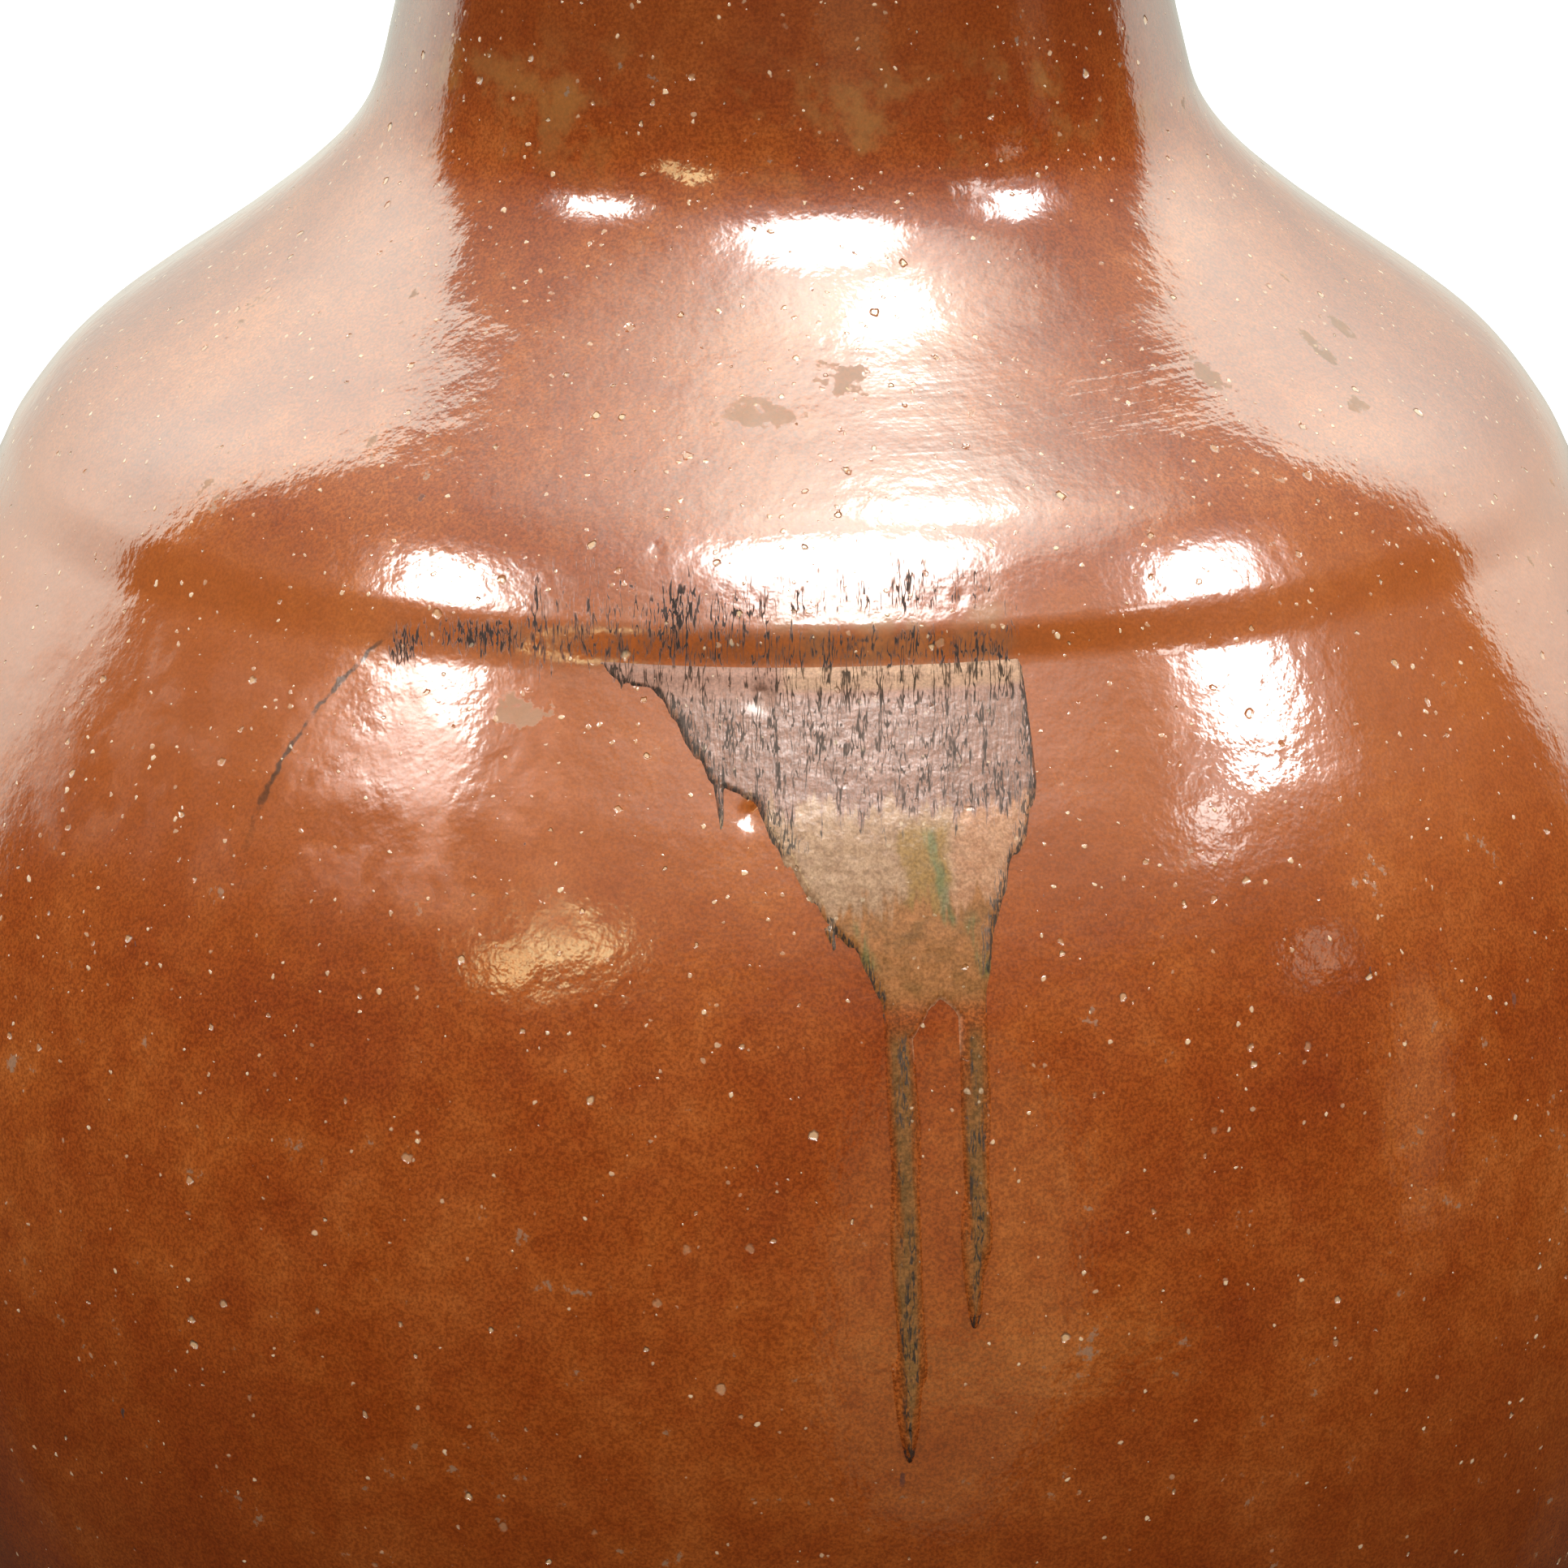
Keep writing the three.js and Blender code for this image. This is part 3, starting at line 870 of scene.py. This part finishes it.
def turned_wood():
    """Oiled wood with growth rings about a pith beside the stopper's axis."""
    material, n = new_material("turned_wood")
    place = n.object_place((1, 1, 0.06))
    bent = n.noise(place, 14, 2, 0.5)
    x, y, _ = n.parts(place)
    x = n.minus(x, 46)
    y = n.calc("ADD", y, 12)
    from_pith = n.calc("SQRT", n.calc("ADD", n.times(x, x), n.times(y, y)))
    rings = n.calc("ADD", n.calc("DIVIDE", from_pith, 2.3), n.times(bent, 2.2))
    phase = n.calc("FRACT", rings)
    late = n.times(n.step(phase, 0.2, 0.92), n.step(phase, 1.0, 0.93))
    fibre = n.noise(n.object_place((1, 1, 0.04)), 0.35, 3, 0.6)
    colour = n.mix(late, srgb(176, 124, 76), srgb(118, 72, 38))
    colour = n.mix(n.step(fibre, 0.5, 0.75, 0.0, 0.45), colour, srgb(92, 56, 30))
    rough = n.step(fibre, 0.3, 0.7, 0.42, 0.6)
    pores = n.bump(fibre, 0.05)
    ridges = n.bump(late, 0.03, pores)
    n.surface(Base_Color=colour, Roughness=rough, IOR=1.46, Normal=ridges)
    return material


# ---- pieces


def build_walls(glaze, clay):
    """The clay slab and the luted wall sections."""
    theta = columns()
    joints = (FLOOR, BELLY_JOINT, GROOVE, NECK_FOOT, LIP_FOOT)
    names = ("lower_body", "upper_body", "shoulder", "neck")
    for name, bottom, top in zip(names, joints, joints[1:]):
        outer = rows(outside.at_height(bottom), outside.at_height(top), ROW_STEP)
        inner = rows(inside.at_height(top), inside.at_height(bottom), INNER_STEP)
        ring_piece(name, [(outside, outer, wall_relief, 1), (inside, inner, plain_relief, -1)], theta, glaze)
    bead = rows(outside.at_height(LIP_FOOT), outside.s[-1], ROW_STEP)
    mouth = rows(0, throat.s[-1], 1.0)[1:]
    ring_piece("lip_ring", [(outside, bead, wall_relief, 1), (throat, mouth, no_relief, 1)], theta, glaze)
    build_foot(theta, clay)


def build_foot(theta, clay):
    """The clay slab: its recess and foot ring below, its wall, and the floor inside the bottle."""
    under = rows(0.6, foot.s[-1], 1.2)
    wall = rows(outside.s[0] + 1.0, outside.at_height(FLOOR), ROW_STEP)
    over = rows(1, 0.02, 0.2)[1:, None, None]
    points, normals = skins([(foot, under, no_relief, 1), (outside, wall, wall_relief, 1)], theta)
    centre = np.array([0, 0, FLOOR])
    floor_points = centre + (points[-1] - centre) * over
    floor_normals = np.broadcast_to(np.array([0, 0, 1.0]), floor_points.shape)
    points = np.concatenate([points, floor_points])
    normals = np.concatenate([normals, floor_normals])
    capped_piece("base_disc", "base_disc_clay", points, normals, clay, "bottle")


def build_stopper(wood):
    """The turned plug and its head."""
    theta = np.arange(0, 360, 1.5)
    s = rows(0.5, headline.s[-1] - 0.5, 0.45)
    points, normals = skins([(headline, s, turning_relief, 1)], theta)
    capped_piece("stopper", "stopper_wood", points, normals, wood, "stopper")


def turning_relief(point, theta, s):
    """Fine tool marks and two turned lines around the head."""
    height = point[2]
    on_head = smoothstep(height, LIP_TOP + 0.5, LIP_TOP + 2)
    marks = 0.015 * np.sin(2 * np.pi * s / 1.7)
    lines = sum(np.exp(-(((height - LIP_TOP - rise) / 0.35) ** 2)) for rise in (2.6, 14.8))
    return on_head * (marks - 0.3 * lines)


def build_ash_run(ash):
    """The raised sheet and drips of ash: a closed skin whose edges sink into the wall."""
    theta = np.arange(RUN_SPREAD[0], RUN_SPREAD[1], 0.18)
    s = rows(outside.at_height(RUN_HEIGHTS[0]), outside.at_height(RUN_HEIGHTS[1]), 0.26)
    height = np.interp(s, outside.s, outside.z)[:, None] + 0 * theta
    depth = ash_depth(theta[None, :] + 0 * height, height)

    def front_relief(point, angle, along):
        """The wall's relief with the ash on it."""
        return wall_relief(point, angle, along) + ash_lift(angle, point[2])

    def back_relief(point, angle, along):
        """The wall's relief, sunk into the clay."""
        return wall_relief(point, angle, along) - 0.9

    front, normals = skins([(outside, s, front_relief, 1)], theta)
    back = skin(outside, s, theta, back_relief)
    kept = depth > -0.5
    cell = kept[:-1, :-1] & kept[1:, :-1] & kept[:-1, 1:] & kept[1:, 1:]
    faces = skin_faces(cell, len(theta))
    used, faces = np.unique(faces, return_inverse=True)
    points = np.concatenate([front.reshape(-1, 3), back.reshape(-1, 3)])[used]
    both_normals = np.concatenate([normals.reshape(-1, 3), -normals.reshape(-1, 3)])[used]
    masks = ash_masks(theta[None, :] + 0 * height, height, depth)
    masks = {mask: np.tile(values.reshape(-1), 2)[used] for mask, values in masks.items()}
    make_mesh("ash_run_glaze", points, both_normals, faces.reshape(-1, 4).tolist(), masks, ash,
              "bottle", "ash_run")


def ash_masks(theta, height, depth):
    """Where edges and drips are dark, the painted glint along the arch's lower edge, the drips' cores and
    the hairs at the sides.
    """
    plain = within(height, 102.8, 105.8) * (theta < 4)
    arch = hill(theta, 6.6, 7.4, 10, 10.6) * within(height, 91.5, 97)
    on_drips = 1 - smoothstep(height, 92, 95)
    rim = 0.8 * (1 - smoothstep(depth, 0.1, 0.6)) * (1 - plain) * (1 - arch) * (1 - on_drips)
    # Painted glint: a pale line along the lower edge of the arch between the long drips
    arch_glint = (1 - smoothstep(depth, 0.0, 0.5)) * arch
    core = on_drips * smoothstep(depth, 0.0, 1.05)
    for angle, start, tip_angle, tip, _, _ in DRIPS[:2]:
        middle = np.interp(height, (tip, start), (tip_angle, angle))
        near = np.abs(theta - middle) < 1.6
        dark = np.interp(height - tip, *zip(*DRIP_DARKNESS))
        end = 1 - smoothstep(height - tip, 1, 2)
        rim = np.maximum(rim, near * np.maximum(core, end) * on_drips * dark)
    left = np.interp(height, *zip(*SHEET_LEFT))
    right = np.interp(height, *zip(*SHEET_RIGHT))
    from_left = across(theta, height) - across(left, height)
    from_right = across(right, height) - across(theta, height)
    left_fringe = (1 - smoothstep(from_left, 0.8, 4.2)) * within(height, 106, 119)
    low_fringe = (1 - smoothstep(from_left, 0.3, 1.4)) * within(height, 95.5, 101.6)
    right_fringe = (1 - smoothstep(from_right, 0.4, 2.2)) * within(height, 97, 118)
    fringe = np.maximum(np.maximum(left_fringe, low_fringe), right_fringe)
    return {"rim": rim, "arch_glint": arch_glint, "core": core, "fringe": 0.92 * fringe}


def within(height, start, end):
    """1 between two heights, with a soft change at both."""
    return hill(height, start - 0.6, start + 0.6, end - 0.6, end + 0.6)


def ash_lift(theta, height):
    """Thickness of the ash, thicker low down and at the tips, negative outside its edge."""
    thick = np.interp(height, *zip(*ASH_THICKNESS))
    return -0.3 + (0.3 + thick) * smoothstep(ash_depth(theta, height), -0.35, 0.75)


def skin_faces(cell, column_count):
    """Quads of a closed skin over the marked cells: front, back and the edge between."""
    row, column = np.nonzero(cell)
    corner = row * column_count + column
    back = (cell.shape[0] + 1) * column_count
    a, b, c, d = corner, corner + 1, corner + 1 + column_count, corner + column_count
    faces = [np.stack([a, b, c, d], axis=1), np.stack([d, c, b, a], axis=1) + back]
    padded = np.pad(cell, 1)
    sides = ((0, 1, a, b), (1, 2, b, c), (2, 1, c, d), (1, 0, d, a))
    for down, right, start, end in sides:
        open_side = ~padded[row + down, column + right]
        quad = np.stack([end, start, start + back, end + back], axis=1)
        faces.append(quad[open_side])
    return np.concatenate(faces)


build_walls(red_slip_glaze(), bare_clay())
build_ash_run(ash_glaze())
build_stopper(turned_wood())


# ---- studio


def facing(azimuth, elevation):
    """Unit vector towards an azimuth, from the front towards +X, and an elevation."""
    a, e = math.radians(azimuth), math.radians(elevation)
    return np.array([math.sin(a) * math.cos(e), -math.cos(a) * math.cos(e), math.sin(e)])


def patch_distance(n, direction, oval, power):
    """Distance from the middle of an oval patch of the surroundings, 1 at its edge."""
    azimuth, elevation, half_width, half_height = oval
    centre = facing(azimuth, elevation)
    right = facing(azimuth + 90, 0)
    up = np.cross(centre, right)
    reach = [n.vector("DOT_PRODUCT", direction, tuple(axis)).outputs[1] for axis in (centre, right, up)]
    ahead = n.calc("MAXIMUM", reach[0], 0.05)
    u = n.calc("DIVIDE", reach[1], n.times(ahead, math.tan(math.radians(half_width))))
    v = n.calc("DIVIDE", reach[2], n.times(ahead, math.tan(math.radians(half_height))))
    parts = [n.calc("POWER", n.calc("ABSOLUTE", part), power) for part in (u, v)]
    return n.calc("ADD", *parts), n.step(reach[0], 0.0, 0.1)


def softbox(n, direction, box):
    """Light from an oval patch of the surroundings with a faint halo."""
    *oval, strength, colour = box
    away, ahead = patch_distance(n, direction, oval, 2.3)
    halo = n.times(n.step(away, 7, 0.5), HALO * strength)
    glow = n.times_plus(n.step(away, 1.25, 0.75), (1 - HALO) * strength, halo)
    return n.scaled(colour, n.times(glow, ahead))


def lit_ceiling(n, direction):
    """Soft-edged light on the ceiling over the lamps."""
    *oval, strength = LIT_CEILING
    away, ahead = patch_distance(n, direction, oval, 2)
    return n.times(n.step(away, 2.2, 0.3, 0.0, strength), ahead)


# Even light for the clay's own colour: its level at the horizon, its rise upwards and to the right
DOME = 1.0
DOME_RISE = 1.2
DOME_RIGHT = 0.08
HALO = 0.06
CEILING = 10
# Azimuth, elevation, half width, half height in degrees, strength and colour of each lamp
BOXES = (
    (16, 64, 15.5, 12, 22, (1, 1, 1)),
    (84, 77.5, 5, 6.5, 18, (1, 1, 1)),
    (-60, 45.5, 7.5, 5, 34, (1, 0.98, 0.94)),
    (76, 40.5, 7, 6, 34, (1, 1, 1)),
    (60, 34.5, 3, 2.5, 14, (1, 0.97, 0.92)),
    (-25.5, 28, 4.2, 2.8, 11, (1, 0.86, 0.45)),
    (-32, 24, 3.2, 1.7, 9, (1, 0.84, 0.42)),
    (67, 15, 3, 2.2, 2.2, (1, 0.9, 0.7)),
    (79, -4, 4.5, 13, 0.36, (1, 0.78, 0.5)),
    (28, -25, 19, 3, 0.42, (1, 0.76, 0.25)),
    (20, -14, 14, 28, 0.35, (1, 0.98, 0.5)),
)
# The lit part of the ceiling: azimuth, elevation, half width, half height in degrees and strength
LIT_CEILING = (42, 72, 24, 14, 3)
LIT_TINT = (1.04, 1, 0.88)
# Brightness of the room in front by the height of a direction, a little brighter to the right
CEILING_LEVELS = ((-0.5, 0.02), (0.0, 0.06), (0.28, 0.1), (0.4, 0.22), (0.5, 0.5), (0.7, 1.1), (0.77, 1.4),
                  (0.85, 1.7), (0.92, 3.4), (0.96, 5.0), (0.98, 7.2), (1.0, 9.5))
CEILING_TINT = (1, 1.05, 0.92)
RISE_RIGHT = 0.12
PANEL_TINT = (0.985, 1.085, 0.965)
BACKDROP = 1.2


def white_panels(n, z, back, right):
    """Bright cloth beside and behind, brightest at the sides, with its edges leaning back above."""
    start = n.times_plus(right, 0.093, 0.37)
    lean_left = n.times(n.step(z, 0.66, 0.84, 0.0, 0.2), n.minus(1.0, right))
    lean = n.times_plus(n.step(z, 0.52, 0.78, 0.0, 0.2), right, lean_left)
    low = n.times(n.calc("MAXIMUM", n.minus(-0.05, z), 0.0), 0.25)
    beyond = n.minus(n.minus(n.minus(back, start), lean), low)
    panel = n.times(n.step(beyond, -0.01, 0.03), n.step(z, 0.9, 0.87))
    lower = n.times_plus(right, -0.25, 2.15)
    upper = n.times_plus(right, -0.2, 5.0)
    side = n.step(z, 0.0, 0.64, lower, upper)
    shade = n.times(n.step(back, 0.6, 1.0, 1.0, 0.5), n.step(z, -0.42, -0.08, 0.01, 1.0))
    return n.times(n.times(panel, side), shade)


def build_surroundings():
    """White panels beside and behind, a dim front, a bright ceiling and soft boxes."""
    world = bpy.data.worlds.new("studio")
    bpy.context.scene.world = world
    world.use_nodes = True
    n = Nodes(world.node_tree)
    direction = n.add("ShaderNodeTexCoord").outputs["Generated"]
    x, y, z = n.parts(direction)
    flat = n.calc("SQRT", n.minus(1.0, n.times(z, z)))
    back = n.calc("DIVIDE", y, n.calc("MAXIMUM", flat, 0.001))
    white = white_panels(n, z, back, n.step(x, -0.05, 0.05))
    light = n.scaled(PANEL_TINT, white)
    rise = n.times(z, n.times_plus(x, RISE_RIGHT, 1.0))
    span = CEILING_LEVELS[-1][0] - CEILING_LEVELS[0][0]
    stops = [((at - CEILING_LEVELS[0][0]) / span, (*(level * part / CEILING for part in CEILING_TINT), 1))
             for at, level in CEILING_LEVELS]
    grey = n.ramp(n.calc("DIVIDE", n.calc("ADD", rise, -CEILING_LEVELS[0][0]), span), *stops)
    light = n.vector("MULTIPLY_ADD", grey, (CEILING, CEILING, CEILING), light).outputs[0]
    for box in BOXES:
        light = n.vector("ADD", light, softbox(n, direction, box)).outputs[0]
    light = n.vector("MULTIPLY_ADD", LIT_TINT, lit_ceiling(n, direction), light).outputs[0]
    # Diffuse light is an even dome, so that the clay's colour shows without noise
    dome = n.times_plus(x, DOME_RIGHT, n.times_plus(z, DOME_RISE, DOME))
    even = n.add("ShaderNodeCombineXYZ", {0: dome, 1: dome, 2: dome}).outputs[0]
    path = n.add("ShaderNodeLightPath")
    shades = [n.add("ShaderNodeBackground", {"Color": shade, "Strength": 1.0}).outputs[0]
              for shade in (even, light, (BACKDROP, BACKDROP, BACKDROP, 1))]
    glossy_ray, camera_ray = path.outputs["Is Glossy Ray"], path.outputs["Is Camera Ray"]
    glossy = n.add("ShaderNodeMixShader", {0: glossy_ray, 1: shades[0], 2: shades[1]})
    seen = n.add("ShaderNodeMixShader", {0: camera_ray, 1: glossy.outputs[0], 2: shades[2]})
    output = n.add("ShaderNodeOutputWorld")
    n.tree.links.new(seen.outputs[0], output.inputs["Surface"])


def build_floor():
    """A wide white floor that neither tints nor mirrors in the glaze."""
    material, n = new_material("floor_white")
    n.surface(Base_Color=(0.88, 0.88, 0.87, 1), Roughness=0.9, IOR=1.3)
    bpy.ops.mesh.primitive_circle_add(vertices=96, radius=8, fill_type="NGON")
    floor = bpy.context.object
    floor.name = "floor"
    floor.data.materials.append(material)
    floor.visible_glossy = False
    floor.visible_diffuse = False


def build_camera():
    """A long lens on the shoulder, from above the horizon."""
    elevation = 16
    distance = 1.104
    aim = np.array([0, 0, 0.0911])
    data = bpy.data.cameras.new("camera")
    data.lens = 310.8
    data.sensor_width = 36
    data.clip_start = 0.05
    data.clip_end = 50
    camera = bpy.data.objects.new("camera", data)
    camera.location = aim + distance * facing(0, elevation)
    camera.rotation_euler = (math.radians(90 - elevation), 0, 0)
    bpy.context.scene.collection.objects.link(camera)
    bpy.context.scene.camera = camera


build_surroundings()
build_floor()
build_camera()
bpy.context.scene.view_settings.view_transform = "Standard"
